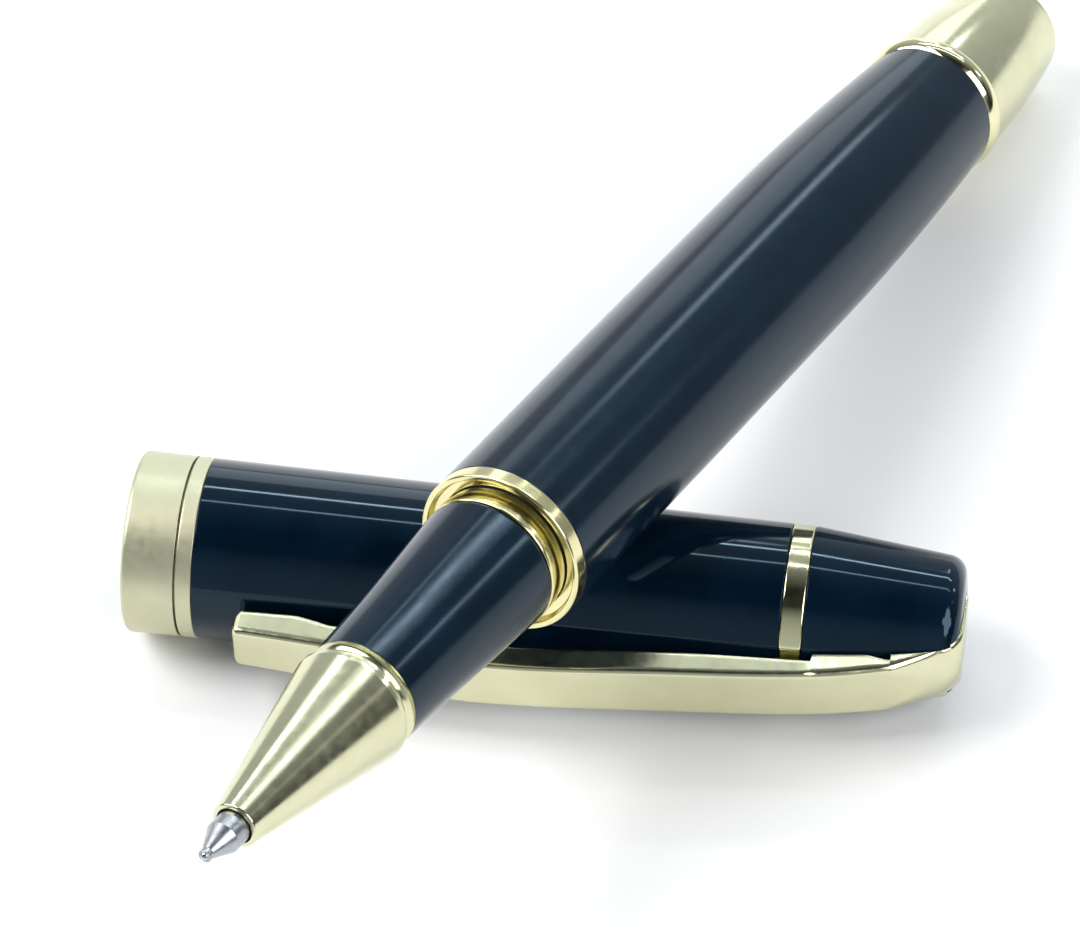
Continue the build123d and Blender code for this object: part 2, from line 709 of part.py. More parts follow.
with BuildPart() as mouth_ring:
    with BuildSketch(PEN):
        outline(
            (0, ring_r - RING_RIM),
            (0, ring_r - BEVEL),
            (BEVEL, ring_r),
            (RING_LEN - SEAT, ring_r),
            (RING_LEN - SEAT, ring_hole_r),
            (RING_RECESS, ring_hole_r),
            (RING_RECESS, ring_r - RING_RIM - RING_SLOPE),
        )
    revolve(axis=PEN_AXIS)
mouth_ring.part.label = "mouth_ring"
export_step(mouth_ring.part, "parts/mouth_ring.step")

with BuildPart() as barrel_tube:
    with BuildSketch(PEN):
        with BuildLine():
            Polyline(
                (barrel_end, barrel_end_r),
                (barrel_end, barrel_bore_r),
                (bush_to + SEAT, barrel_bore_r),
                (bush_to + SEAT, bush_seat_r),
                (RING_LEN, bush_seat_r),
                (RING_LEN, ring_r),
                (BARREL_STRAIGHT_FROM, barrel_r),
                (BARREL_STRAIGHT_TO, barrel_r),
            )
            TangentArc((BARREL_STRAIGHT_TO, barrel_r), (barrel_end, barrel_end_r), tangent=(1, 0))
        make_face()
    revolve(axis=PEN_AXIS)
barrel_tube.part.label = "barrel_tube"
export_step(barrel_tube.part, "parts/barrel_tube.step")

with BuildPart() as thread_bush:
    with BuildSketch(PEN):
        outline(
            (BUSH_FROM, core_r + RUN),
            (BUSH_FROM, bush_seat_r - SEAT),
            (bush_to, bush_seat_r - SEAT),
            (bush_to, core_r + RUN),
        )
    revolve(axis=PEN_AXIS)
thread_bush.part.label = "thread_bush"
export_step(thread_bush.part, "parts/thread_bush.step")

tail_core_from = barrel_end - TAIL_CORE_IN
tail_core_to = barrel_end + TAIL_CORE_OUT
with BuildPart() as tail_core:
    with BuildSketch(PEN):
        outline(
            (tail_core_from, core_hole_r),
            (tail_core_from, barrel_bore_r - SEAT),
            (barrel_end, barrel_bore_r - SEAT),
            (barrel_end, core_spigot_r),
            (tail_core_to, core_spigot_r),
            (tail_core_to, core_hole_r),
        )
    revolve(axis=PEN_AXIS)
tail_core.part.label = "tail_core"
export_step(tail_core.part, "parts/tail_core.step")

with BuildPart() as tail_ring:
    with BuildSketch(PEN):
        with BuildLine():
            Polyline(
                (barrel_end + SEAT, barrel_end_r - BEVEL),
                (barrel_end + SEAT, core_spigot_r + SEAT),
                (tail_ring_to - SEAT, core_spigot_r + SEAT),
                (tail_ring_to - SEAT, finial_r),
            )
            ThreePointArc(
                (tail_ring_to - SEAT, finial_r),
                ((barrel_end + tail_ring_to) / 2, tail_ring_r),
                (barrel_end + SEAT, barrel_end_r - BEVEL),
            )
        make_face()
    revolve(axis=PEN_AXIS)
tail_ring.part.label = "tail_ring"
export_step(tail_ring.part, "parts/tail_ring.step")

with BuildPart() as tail_finial:
    with BuildSketch(PEN):
        with BuildLine():
            Polyline(
                (tail_ring_to, finial_r - BEVEL),
                (tail_ring_to, core_spigot_r + SEAT),
                (tail_core_to + SEAT, core_spigot_r + SEAT),
                (tail_core_to + SEAT, core_hole_r),
                (spring_room_to, core_hole_r),
                (spring_room_to, 0),
                (pen_tail, 0),
                (pen_tail, tail_r - FINIAL_ROUND),
            )
            TangentArc(
                (pen_tail, tail_r - FINIAL_ROUND),
                (pen_tail - FINIAL_ROUND, tail_r),
                tangent=(0, 1),
            )
            ThreePointArc(
                (pen_tail - FINIAL_ROUND, tail_r),
                ((pen_tail + tail_ring_to) / 2, (tail_r + finial_r) / 2 + FINIAL_SWELL),
                (tail_ring_to, finial_r - BEVEL),
            )
        make_face()
    revolve(axis=PEN_AXIS)
tail_finial.part.label = "tail_finial"
export_step(tail_finial.part, "parts/tail_finial.step")

# ---------------------------------------------------------------- refill
tip_cone_from = cone_front - TIP_CYL_LEN
snout_from = tip_front + TIP_SNOUT_LEN
snout_r = TIP_SNOUT_DIA / 2
feed_r = FEED_DIA / 2
feed_from = ball_at + ball_r + FEED_GAP
tube_from = refill_nose_to
fibre_from = tube_from + FIBRE_GAP
plug_from = refill_end - REFILL_PLUG_LEN
tip_from = refill_nose_from + NOSE_GRIP
socket_r = ball_r + BALL_PLAY
socket_back = ball_at + sqrt(socket_r ** 2 - (feed_r / 2) ** 2)
mouth_socket_r = sqrt(socket_r ** 2 - (ball_at - tip_front) ** 2)

with BuildPart() as refill_tip:
    with BuildSketch(PEN):
        with BuildLine():
            Polyline(
                (tip_front, mouth_socket_r),
                (tip_front, snout_r - TIP_BEVEL),
                (tip_front + TIP_BEVEL, snout_r),
                (snout_from, snout_r),
                (tip_cone_from, tip_r),
                (tip_from, tip_r),
                (tip_from, feed_r + SEAT),
                (socket_back, feed_r + SEAT),
                (socket_back, feed_r / 2),
            )
            ThreePointArc(
                (socket_back, feed_r / 2),
                (ball_at, socket_r),
                (tip_front, mouth_socket_r),
            )
        make_face()
    revolve(axis=PEN_AXIS)
refill_tip.part.label = "refill_tip"
export_step(refill_tip.part, "parts/refill_tip.step")

with BuildPart() as writing_ball:
    with BuildSketch(PEN):
        with BuildLine():
            CenterArc((ball_at, 0), ball_r, 0, 180)
            Line((ball_at - ball_r, 0), (ball_at + ball_r, 0))
        make_face()
    revolve(axis=PEN_AXIS)
writing_ball.part.label = "writing_ball"
export_step(writing_ball.part, "parts/writing_ball.step")

with BuildPart() as refill_nose:
    with BuildSketch(PEN):
        outline(
            (refill_nose_from, tip_r + SEAT),
            (tube_from, refill_r),
            (tube_from, refill_in_r - SEAT),
            (tube_from + NOSE_GRIP, refill_in_r - SEAT),
            (tube_from + NOSE_GRIP, feed_r + SEAT),
            (tip_from + SEAT, feed_r + SEAT),
            (tip_from + SEAT, tip_r + SEAT),
        )
    revolve(axis=PEN_AXIS)
refill_nose.part.label = "refill_nose"
export_step(refill_nose.part, "parts/refill_nose.step")

with BuildPart() as ink_feed_rod:
    with BuildSketch(PEN):
        outline((feed_from, 0), (feed_from, feed_r), (fibre_from, feed_r), (fibre_from, 0))
    revolve(axis=PEN_AXIS)
ink_feed_rod.part.label = "ink_feed_rod"
export_step(ink_feed_rod.part, "parts/ink_feed_rod.step")

with BuildPart() as refill_tube:
    with BuildSketch(PEN):
        outline(
            (tube_from + SEAT, refill_in_r),
            (tube_from + SEAT, refill_r),
            (refill_end - REFILL_PLUG_HEAD, refill_r),
            (refill_end - REFILL_PLUG_HEAD, refill_in_r),
        )
    revolve(axis=PEN_AXIS)
refill_tube.part.label = "refill_tube"
export_step(refill_tube.part, "parts/refill_tube.step")

with BuildPart() as ink_fibre:
    with BuildSketch(PEN):
        outline(
            (fibre_from + SEAT, 0),
            (fibre_from + SEAT, refill_in_r - SEAT),
            (plug_from - FIBRE_GAP, refill_in_r - SEAT),
            (plug_from - FIBRE_GAP, 0),
        )
    revolve(axis=PEN_AXIS)
ink_fibre.part.label = "ink_fibre"
export_step(ink_fibre.part, "parts/ink_fibre.step")

with BuildPart() as refill_end_plug:
    with BuildSketch(PEN):
        outline(
            (plug_from, 0),
            (plug_from, refill_in_r - SEAT),
            (refill_end - REFILL_PLUG_HEAD + SEAT, refill_in_r - SEAT),
            (refill_end - REFILL_PLUG_HEAD + SEAT, refill_r),
            (refill_end, refill_r),
            (refill_end, 0),
        )
    revolve(axis=PEN_AXIS)
refill_end_plug.part.label = "refill_end_plug"
export_step(refill_end_plug.part, "parts/refill_end_plug.step")

# Spring between the refill's end and the finial's floor, slightly compressed.
spring_wire_r = SPRING_WIRE / 2
spring_from = refill_end + spring_wire_r + SEAT
spring_len = spring_room_to - SEAT - spring_wire_r - spring_from
spring_r = (SPRING_DIA - SPRING_WIRE) / 2
with BuildPart() as refill_spring:
    coil_at = cross_plane(PEN, spring_from)
    with BuildLine():
        coil = Helix(
            pitch=spring_len / SPRING_TURNS,
            height=spring_len,
            radius=spring_r,
            center=coil_at.origin,
            direction=coil_at.z_dir,
        )
    with BuildSketch(Plane(origin=coil @ 0, z_dir=coil % 0)):
        Circle(spring_wire_r)
    sweep(path=coil, is_frenet=True)
refill_spring.part.label = "refill_spring"
export_step(refill_spring.part, "parts/refill_spring.step")
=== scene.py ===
import json
from math import cos, pi, radians, sin, sqrt, tan

import bmesh
import bpy
from mathutils import Matrix, Vector


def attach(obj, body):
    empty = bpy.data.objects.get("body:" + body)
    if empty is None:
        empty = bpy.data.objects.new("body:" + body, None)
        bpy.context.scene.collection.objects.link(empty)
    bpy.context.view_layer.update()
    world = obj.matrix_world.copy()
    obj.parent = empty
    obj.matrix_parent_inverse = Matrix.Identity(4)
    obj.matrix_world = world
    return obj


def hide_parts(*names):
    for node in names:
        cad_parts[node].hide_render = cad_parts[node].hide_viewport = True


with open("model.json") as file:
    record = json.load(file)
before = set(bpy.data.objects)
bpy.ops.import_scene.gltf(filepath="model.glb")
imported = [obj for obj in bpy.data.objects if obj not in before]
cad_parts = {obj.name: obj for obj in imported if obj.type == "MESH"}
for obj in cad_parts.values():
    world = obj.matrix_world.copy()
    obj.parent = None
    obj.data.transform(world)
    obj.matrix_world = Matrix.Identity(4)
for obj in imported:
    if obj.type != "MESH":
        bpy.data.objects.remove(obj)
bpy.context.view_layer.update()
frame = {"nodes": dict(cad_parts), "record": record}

MM = 0.001

# ------------------------------------------------------------------ axes, from the frame
# Stations along the cap count from its mouth, and stations along the pen from the front of
# the barrel's mouth ring, positive towards the tail. Both are in millimetres, as are radii.
mounts = {m["name"]: m for m in frame["record"]["mounts"]}
grip_mount, mouth_mount = mounts["barrel_grip"], mounts["cap_mouth"]
GRIP_MOUNT_STATION = 32.0   # the grip mount's place along the pen

pen_dir = Vector(grip_mount["axis"]).normalized()
pen_zero = Vector(grip_mount["pos_m"]) - pen_dir * GRIP_MOUNT_STATION * MM
pen_side = pen_dir.cross(Vector((0, 0, 1))).normalized()

cap_dir = -Vector(mouth_mount["axis"]).normalized()
cap_zero = Vector(mouth_mount["pos_m"]) - cap_dir * mouth_mount["dims"]["length_mm"] / 2 * MM
clip_dir = Vector((0, -1, 0))


class Axis:
    """A turning axis: station and radius to a point, with `side` as the direction of angle 0."""

    def __init__(self, zero, along, side):
        self.zero, self.along, self.side = zero, along, side
        self.other = along.cross(side)

    def at(self, station, radius=0.0, angle=0.0):
        out = self.side * cos(angle) + self.other * sin(angle)
        return self.zero + self.along * station * MM + out * radius * MM


PEN = Axis(pen_zero, pen_dir, pen_side)
CAP = Axis(cap_zero, cap_dir, clip_dir)

# ------------------------------------------------------------------ sizes
barrel_r = grip_mount["dims"]["r_mm"]
bore_r = mouth_mount["dims"]["r_mm"]
SEAT = 0.02                 # between pieces that are pressed or glued together
HAIR = 0.01                 # a difference too small to see
CRISP, EASED, SOFT = 0.05, 0.1, 0.16    # roundings of edges

# Meshes
ROUND_SIDES, CORE_SIDES, BALL_SIDES = 192, 128, 96
SHARP = radians(34)         # edges sharper than this are drawn as edges
SPACING, HOLD = 1.5, 0.04   # of points along a straight run, and from its ends
FILLET_STEPS, LEG_SHARE = 7, 0.45       # a fillet takes no more than this share of a leg
ON_AXIS = 1e-4              # radii below this are on the axis

# Cap
MOUTH_R, WAIST_R, CROWN_R, CAP_LENGTH = 6.68, 6.19, 5.13, 60.9
LIP_BAND_TO, LIP_SPIGOT_TO, LIP_SLEEVE_R = 3.88, 9.0, 6.0785
LIP_ROUND, LIP_BORE_ROUND = 0.3, 0.12
TRIM_FROM, TRIM_TO, TUBE_TO, TUBE_IN_R = 4.02, 5.2, 47.8, 5.75
CROWN_FROM, CROWN_SIDE_TO, CROWN_EDGE = 49.5, 59.3, 1.3
CROWN_BUSH_R, CROWN_BUSH_TO, CROWN_SCREW_R, CROWN_SCREW_TO = 5.32, 53.72, 1.52, 58.02

# Barrel and tail
RING_R, RING_LEN, RING_HOLE_R, RING_RECESS = 6.3, 1.2, 5.10, 0.6
RING_RIM, RING_RIM_FOOT = 0.42, 0.57    # the rim's width in front and at the recess
RING_ROUND, RIM_FOOT_ROUND, RECESS_ROUND = 0.08, 0.06, 0.04
STRAIGHT_FROM, STRAIGHT_TO, BARREL_TO, BARREL_END_R = 22.0, 42.0, 65.1, 5.5
BARREL_BORE_R, BUSH_R, BUSH_TO = 4.7, 5.6, 13.62
TAIL_RING_TO, TAIL_RING_FRONT_R, TAIL_RING_R, TAIL_RING_BACK_R = 66.68, 5.38, 5.8, 5.6
TAIL_SPIGOT_R, TAIL_SPIGOT_TO, FINIAL_R, FINIAL_MIDDLE = 4.22, 70.52, 5.48, (73.1, 5.205)
TAIL_R, TAIL_ROUND, PEN_TAIL, TAIL_BORE_R, END_WALL = 4.45, 0.9, 79.5, 3.45, 1.9

# Grip section
HUB_FRONT, HUB_BACK, HUB_SINK, HUB_BACK_R, HUB_ROUND = -1.39, -0.34, 0.45, 5.05, 0.14
GRIP_FRONT, GRIP_REAR, GRIP_FRONT_R, GRIP_REAR_R, GRIP_ROUND = -17.99, -1.41, 4.25, 5.18, 0.35
GRIP_WAIST, GRIP_SPACING, GRIP_STEPS = (-10.52, 4.6285), 0.51, 32
BEAD_FRONT, BEAD_R, BEAD_FRONT_R = -19.29, 4.95, 4.33
CONE_R, CONE_COLLAR, CONE_FRONT, CONE_END_R = 4.45, 0.45, -33.69, 1.68
CONE_ROUND, COLLAR_ROUND, CONE_HOLE_ROUND = 0.14, 0.2, 0.04
CONE_HOLE_R, CONE_HOLE_LEN, CONE_SHOULDER, CONE_BORE_FROM = 1.36, 1, (-30.39, 1.54), -19.89
CORE_R, CORE_FRONT_R, CORE_BORE_R, CORE_ROUND = 4.2, 3.7, 3.35, 0.35
CORE_FRONT, CORE_STEP, CORE_TO = -17.79, -3.41, 12.5
CORE_FINE_FROM, CORE_FINE_TO, CORE_FINE_SPACING = 1.6, 11.0, 0.07   # round the thread
THREAD_FROM, THREAD_TO, THREAD_PITCH, THREAD_DEPTH = 2.2, 10.2, 1.5, 0.22
THREAD_HALF, THREAD_FADE = 0.26, 0.5    # half of the groove's width, and its run-out

# Refill's tip
TIP_R, TIP_BACK, TIP_CONE_FROM, TIP_ROUND = 1.24, -28.89, -35.04, 0.12
SNOUT_FROM, SNOUT_R, TIP_FRONT, TIP_RIM_R = -36.79, 0.48, -37.24, 0.33
SNOUT_ROUND, SNOUT_FOOT_ROUND = 0.09, 0.06
FEED_R, FEED_TO, BALL_SEAT, SOCKET_R = 0.47, (-36.6, 0.4), (-36.77, 0.225), 0.37
BALL_AT, BALL_R, BALL_STEPS = -37.07, 0.35, 16

# Clip: faces as (station, height over the cap's axis), widths as (station, half of the width)
CLIP_FROM, CLIP_PEAK_RISE, CLIP_DRAFT = 8.6, 9.823, tan(radians(8))
CLIP_OUTER = (
    (8.6, 8.845), (26.0, 9.823), (41.15, 8.643), (50.3, 7.64),
    (56.0, 6.387), (59.3, 5.35), (61.9, 5.13),
)
CLIP_INNER = ((15.6, 7.499), (27.0, 7.973), (41.15, 6.793), (50.3, 6.31))
CLIP_PAD = ((8.6, 7.445), (9.1, 6.945), (13.2, 6.945), (15.6, 7.499))
CLIP_WIDTHS = ((8.6, 1.85), (26.0, 2.33), (61.9, 2.05))
CLIP_CLEAR_FROM = 41.15     # from here the clip's underside keeps clear of the cap
ROOT_FROM, SINK_FROM, SINK_R, ROOT_SEAT_R = 50.3, 55.9, 5.448, 4.38
TANG_FROM, TANG_HALF, TANG_PAST_AXIS, CLIP_GAP = 60.05, 2.75, 0.9, 0.12
ROOT_CORNER_FROM, ROOT_CORNER_R = 56.0, 6.737
ROOT_EDGE_FROM, ROOT_EDGE_R, ROOT_EDGE_END_R = 59.3, 5.21, 3.83
FLAT_R, SMALLEST_RISE = 40.0, 0.1       # the top is nearly flat at the mouth's end
TOP_ROUND, UNDER_ROUND, TOP_SHARE, UNDER_SHARE = 0.4, 0.22, 0.45, 0.4
FRONT_ROUND, END_ROUND = 0.5, 0.16
CORNER_STEPS, ACROSS_STEPS, UP_STEPS = 6, 12, 8


def between(points, s):
    """Value at s on straight lines through (s, value) points."""
    for (s0, v0), (s1, v1) in zip(points, points[1:]):
        if s <= s1:
            return v0 + (v1 - v0) * (s - s0) / (s1 - s0)
    return points[-1][1]


def curve_through(points):
    """A smooth function through (s, value) points."""
    slopes = []
    for i in range(len(points)):
        (s0, v0), (s1, v1) = points[max(i - 1, 0)], points[min(i + 1, len(points) - 1)]
        slopes.append((v1 - v0) / (s1 - s0))

    def value(s):
        i = 0
        while i < len(points) - 2 and s > points[i + 1][0]:
            i += 1
        (s0, v0), (s1, v1) = points[i], points[i + 1]
        h, t = s1 - s0, (s - s0) / (s1 - s0)
        return (
            v0 * (2 * t ** 3 - 3 * t ** 2 + 1) + slopes[i] * h * (t ** 3 - 2 * t ** 2 + t)
            + v1 * (3 * t ** 2 - 2 * t ** 3) + slopes[i + 1] * h * (t ** 3 - t ** 2)
        )

    return value


def cap_r(station):
    """Outer radius of the cap's straight taper, mouth to crown ring."""
    return MOUTH_R + (WAIST_R - MOUTH_R) * station / CROWN_FROM


# ------------------------------------------------------------------ sections
def turned(start, end, centre, steps):
    """Points of the shorter arc from start to end about a centre."""
    a, b = Vector(start) - centre, Vector(end) - centre
    angle = a.angle(b)
    return [
        centre + (a * sin(angle * (1 - i / steps)) + b * sin(angle * i / steps)) / sin(angle)
        for i in range(steps + 1)
    ]


def arc_from(start, tangent, end, steps):
    """Arc that leaves the start along a tangent and reaches the end."""
    start, end, tangent = Vector(start), Vector(end), Vector(tangent).normalized()
    normal, chord = Vector((-tangent.y, tangent.x)), end - start
    centre = start + normal * chord.length_squared / (2 * chord.dot(normal))
    return turned(start, end, centre, steps)


def arc_through(start, middle, end, steps):
    """Arc through three points."""
    start, middle, end = Vector(start), Vector(middle), Vector(end)
    chord = end - start
    half = chord.length / 2
    along = chord.normalized()
    across = Vector((-along.y, along.x))
    rise = (middle - start).dot(across)
    foot = (middle - start).dot(along) - half
    offset = (foot ** 2 + rise ** 2 - half ** 2) / (2 * rise)
    centre = start + along * half + across * offset
    return turned(start, end, centre, steps)


def fillet(a, corner, b, radius):
    """Points of a fillet of that radius at a corner, between the legs to a and b."""
    leg_a, leg_b = a - corner, b - corner
    turn = leg_a.angle(leg_b)
    cut = min(radius / tan(turn / 2), LEG_SHARE * leg_a.length, LEG_SHARE * leg_b.length)
    leg_a.normalize()
    leg_b.normalize()
    centre = corner + (leg_a + leg_b).normalized() * cut * tan(turn / 2) / sin(turn / 2)
    return turned(corner + leg_a * cut, corner + leg_b * cut, centre, FILLET_STEPS)


def section(corners):
    """Closed section from (station, radius, rounding, spacing) corners.

    The last two may be left out. Each corner is rounded, and points just past each rounding
    hold the reflections straight.
    """
    flat = [Vector((c[0], c[1])) for c in corners]
    runs = []
    for i, corner in enumerate(corners):
        if len(corner) > 2 and corner[2]:
            runs.append(fillet(flat[i - 1], flat[i], flat[(i + 1) % len(flat)], corner[2]))
        else:
            runs.append([flat[i]])
    points = []
    for i, run in enumerate(runs):
        points += run
        start, end = run[-1], runs[(i + 1) % len(runs)][0]
        gap = (end - start).length
        spacing = corners[i][3] if len(corners[i]) > 3 else SPACING
        if gap > 4 * HOLD and max(start.y, end.y) > ON_AXIS:
            step, inner = (end - start) / gap, gap - 2 * HOLD
            spans = max(1, round(inner / spacing))
            points.append(start + step * HOLD)
            points += [start + step * (HOLD + inner * k / spans) for k in range(1, spans)]
            points.append(end - step * HOLD)
    return points


# ------------------------------------------------------------------ mesh helpers
def add_mesh(name, verts, faces, material):
    mesh = bpy.data.meshes.new(name)
    mesh.from_pydata(verts, [], faces)
    mesh.validate()
    bm = bmesh.new()
    bm.from_mesh(mesh)
    bmesh.ops.recalc_face_normals(bm, faces=bm.faces)
    bm.to_mesh(mesh)
    bm.free()
    mesh.shade_smooth()
    mesh.set_sharp_from_angle(angle=SHARP)
    obj = bpy.data.objects.new(name, mesh)
    bpy.context.scene.collection.objects.link(obj)
    obj.data.materials.append(material)
    return obj


def lathe(name, axis, corners, material, sides=ROUND_SIDES, relief=None):
    """A turned piece. Corners run round its half section; radius 0 closes it on the axis."""
    rings, verts = [], []
    for p in section(corners):
        if p.y < ON_AXIS:
            rings.append([len(verts)] * sides)
            verts.append(axis.at(p.x))
            continue
        rings.append(list(range(len(verts), len(verts) + sides)))
        for k in range(sides):
            angle = 2 * pi * k / sides
            depth = relief(p.x, p.y, angle) if relief else 0
            verts.append(axis.at(p.x, p.y - depth, angle))
    faces = []
    for a, b in zip(rings, rings[1:] + rings[:1]):
        for k in range(sides):
            n = (k + 1) % sides
            face = list(dict.fromkeys((a[k], a[n], b[n], b[k])))
            if len(face) > 2:
                faces.append(face)
    return add_mesh(name, verts, faces, material)


def loft(name, loops, material):
    """A closed skin over loops of points, capped at both ends."""
    count = len(loops[0])
    verts = [p for loop in loops for p in loop]
    faces = [list(range(count)), list(range(len(verts) - count, len(verts)))]
    for i in range(len(loops) - 1):
        for k in range(count):
            n = (k + 1) % count
            faces.append([i * count + k, i * count + n, (i + 1) * count + n, (i + 1) * count + k])
    return add_mesh(name, verts, faces, material)


def cut_away(piece, cutter):
    """Cut one solid out of another."""
    boolean = piece.modifiers.new("cut", "BOOLEAN")
    boolean.operation, boolean.solver, boolean.object = "DIFFERENCE", "EXACT", cutter
    graph = bpy.context.evaluated_depsgraph_get()
    result = bpy.data.meshes.new_from_object(piece.evaluated_get(graph))
    piece.modifiers.clear()
    piece.data = result
    bpy.data.objects.remove(cutter)
    piece.data.set_sharp_from_angle(angle=SHARP)
    return piece


def settle(piece, body, node):
    """Put a piece on its body, in place of its CAD node."""
    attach(piece, body)
    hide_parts(node)


# ------------------------------------------------------------------ materials
class Nodes:
    """Short names for a material's nodes and links."""

    def __init__(self, name, **shader):
        self.material = bpy.data.materials.new(name)
        self.material.use_nodes = True
        self.tree = self.material.node_tree
        self.shader = self.tree.nodes["Principled BSDF"]
        for socket, value in shader.items():
            self.shader.inputs[socket.replace("_", " ")].default_value = value
        self.coord = self.tree.nodes.new("ShaderNodeTexCoord")

    def link(self, a, b):
        self.tree.links.new(a, b)

    def noise(self, scale, detail):
        node = self.tree.nodes.new("ShaderNodeTexNoise")
        node.inputs["Scale"].default_value = scale
        node.inputs["Detail"].default_value = detail
        self.link(self.coord.outputs["Object"], node.inputs["Vector"])
        return node.outputs["Fac"]

    def ramp(self, value, span, ends):
        """Map a value over a span to colours or greys, from one end to the other."""
        node = self.tree.nodes.new("ShaderNodeValToRGB")
        for element, position, end in zip(node.color_ramp.elements, span, ends):
            element.position = position
            element.color = (*end, 1) if isinstance(end, tuple) else (end, end, end, 1)
        self.link(value, node.inputs["Fac"])
        return node.outputs["Color"]

    def bump(self, value, strength, distance_mm):
        node = self.tree.nodes.new("ShaderNodeBump")
        node.inputs["Strength"].default_value = strength
        node.inputs["Distance"].default_value = distance_mm * MM
        self.link(value, node.inputs["Height"])
        self.link(node.outputs["Normal"], self.shader.inputs["Normal"])

    def colour(self, value):
        self.link(value, self.shader.inputs["Base Color"])

    def roughness(self, value):
        self.link(value, self.shader.inputs["Roughness"])


NOISE_SPAN, LACQUER_SPAN = (0.3, 0.7), (0.35, 0.65)     # where noise is most of the time


def finish(name, colours, rough, noises, bump, span=NOISE_SPAN, **shader):
    """A material whose colour and gloss vary finely, over a slight grain.

    Colours and rough have two ends each. Noises are the scale and detail of the noise for
    colour, gloss and grain, and bump is the grain's strength and depth in millimetres.
    """
    m = Nodes(name, **shader)
    m.colour(m.ramp(m.noise(*noises[0]), span, colours))
    m.roughness(m.ramp(m.noise(*noises[1]), NOISE_SPAN, rough))
    m.bump(m.noise(*noises[2]), *bump)
    return m.material


def lacquer(name, rough):
    return finish(
        name, ((0.0008, 0.0055, 0.0135), (0.0016, 0.0085, 0.0190)), (rough, rough + 0.04),
        ((260, 4), (900, 2), (420, 2)), (0.05, 0.01), LACQUER_SPAN,
        IOR=1.41, Specular_Tint=(0.58, 0.82, 1.0, 1.0),
    )


def gold(name, light, dark, rough, grain=0.12):
    return finish(
        name, (dark, light), (rough, rough + 0.08),
        ((340, 3), (1500, 4), (5200, 3)), (grain, 0.004), Metallic=1.0,
    )


def metal(name, light, dark, rough):
    return finish(
        name, (dark, light), (rough, rough + 0.1),
        ((700, 3), (2600, 3), (4000, 2)), (0.1, 0.004), Metallic=1.0,
    )


def plain(name, light, dark, rough, scale=900):
    return finish(
        name, (dark, light), (rough, rough + 0.12),
        ((scale, 4), (scale * 2, 3), (scale * 1.5, 3)), (0.2, 0.02),
    )


NAVY = lacquer("navy_lacquer", 0.045)
SOFT_NAVY = lacquer("soft_navy_lacquer", 0.13)
GOLD = gold("pale_gold", (0.66, 0.65, 0.44), (0.61, 0.60, 0.39), 0.15)
SATIN_GOLD = gold("satin_pale_gold", (0.60, 0.59, 0.42), (0.56, 0.55, 0.38), 0.40, 0.25)
YELLOW_GOLD = gold("warm_gold", (0.76, 0.70, 0.40), (0.72, 0.66, 0.36), 0.10, 0.06)
BRIGHT_GOLD = gold("bright_pale_gold", (0.76, 0.73, 0.46), (0.72, 0.69, 0.42), 0.07, 0.05)
BRASS = metal("brass", (0.72, 0.54, 0.24), (0.60, 0.44, 0.18), 0.2)
STEEL = metal("steel", (0.44, 0.455, 0.48), (0.34, 0.355, 0.38), 0.26)
NICKEL = metal("nickel_silver", (0.56, 0.57, 0.60), (0.45, 0.46, 0.49), 0.16)
CARBIDE = metal("carbide", (0.5, 0.51, 0.54), (0.4, 0.41, 0.44), 0.06)
BLACK = plain("black_plastic", (0.022, 0.022, 0.025), (0.014, 0.014, 0.016), 0.38)
FIBRE = plain("ink_fibre", (0.03, 0.035, 0.10), (0.015, 0.018, 0.06), 0.75, 2500)
RUBBER = plain("rubber", (0.018, 0.018, 0.018), (0.010, 0.010, 0.010), 0.55)

CAD_FINISH = {
    "navy_lacquer": NAVY, "pale_gold": GOLD, "brass": BRASS, "steel": STEEL,
    "steel_tube": STEEL, "nickel_silver": NICKEL, "carbide": CARBIDE,
    "black_plastic": BLACK, "ink_fibre": FIBRE, "rubber": RUBBER,
}
for part in frame["record"]["subparts"]:
    node = frame["nodes"][part["node"]]
    node.data.materials.clear()
    node.data.materials.append(CAD_FINISH[part["material_slot"]])

# ------------------------------------------------------------------ camera
# Its place and turn, in metres and as image directions in the frame.
CAMERA_AT = Vector((0.042178, -0.245722, 0.314808))
CAMERA_RIGHT = Vector((0.988964, 0.145422, -0.028319))
CAMERA_DOWN = Vector((0.095493, -0.771827, -0.628620))
CAMERA_LENS, SENSOR_WIDTH = 178.81, 36.0        # in millimetres
CAMERA_NEAR, CAMERA_FAR = 0.01, 20.0

camera = bpy.data.objects.new("camera", bpy.data.cameras.new("camera"))
bpy.context.scene.collection.objects.link(camera)
camera.data.lens = CAMERA_LENS
camera.data.sensor_width = SENSOR_WIDTH
camera.data.clip_start, camera.data.clip_end = CAMERA_NEAR, CAMERA_FAR
turn = Matrix((CAMERA_RIGHT, -CAMERA_DOWN, CAMERA_RIGHT.cross(-CAMERA_DOWN))).transposed()
camera.matrix_world = Matrix.Translation(CAMERA_AT) @ turn.to_4x4()
bpy.context.scene.camera = camera

# ------------------------------------------------------------------ cap
settle(lathe("lip_band_fine", CAP, [
    (0, bore_r, LIP_BORE_ROUND), (0, cap_r(0), LIP_ROUND),
    (LIP_BAND_TO, cap_r(LIP_BAND_TO), CRISP), (LIP_BAND_TO, LIP_SLEEVE_R),
    (LIP_SPIGOT_TO, LIP_SLEEVE_R), (LIP_SPIGOT_TO, bore_r),
], SATIN_GOLD), "cap", "lip_band")

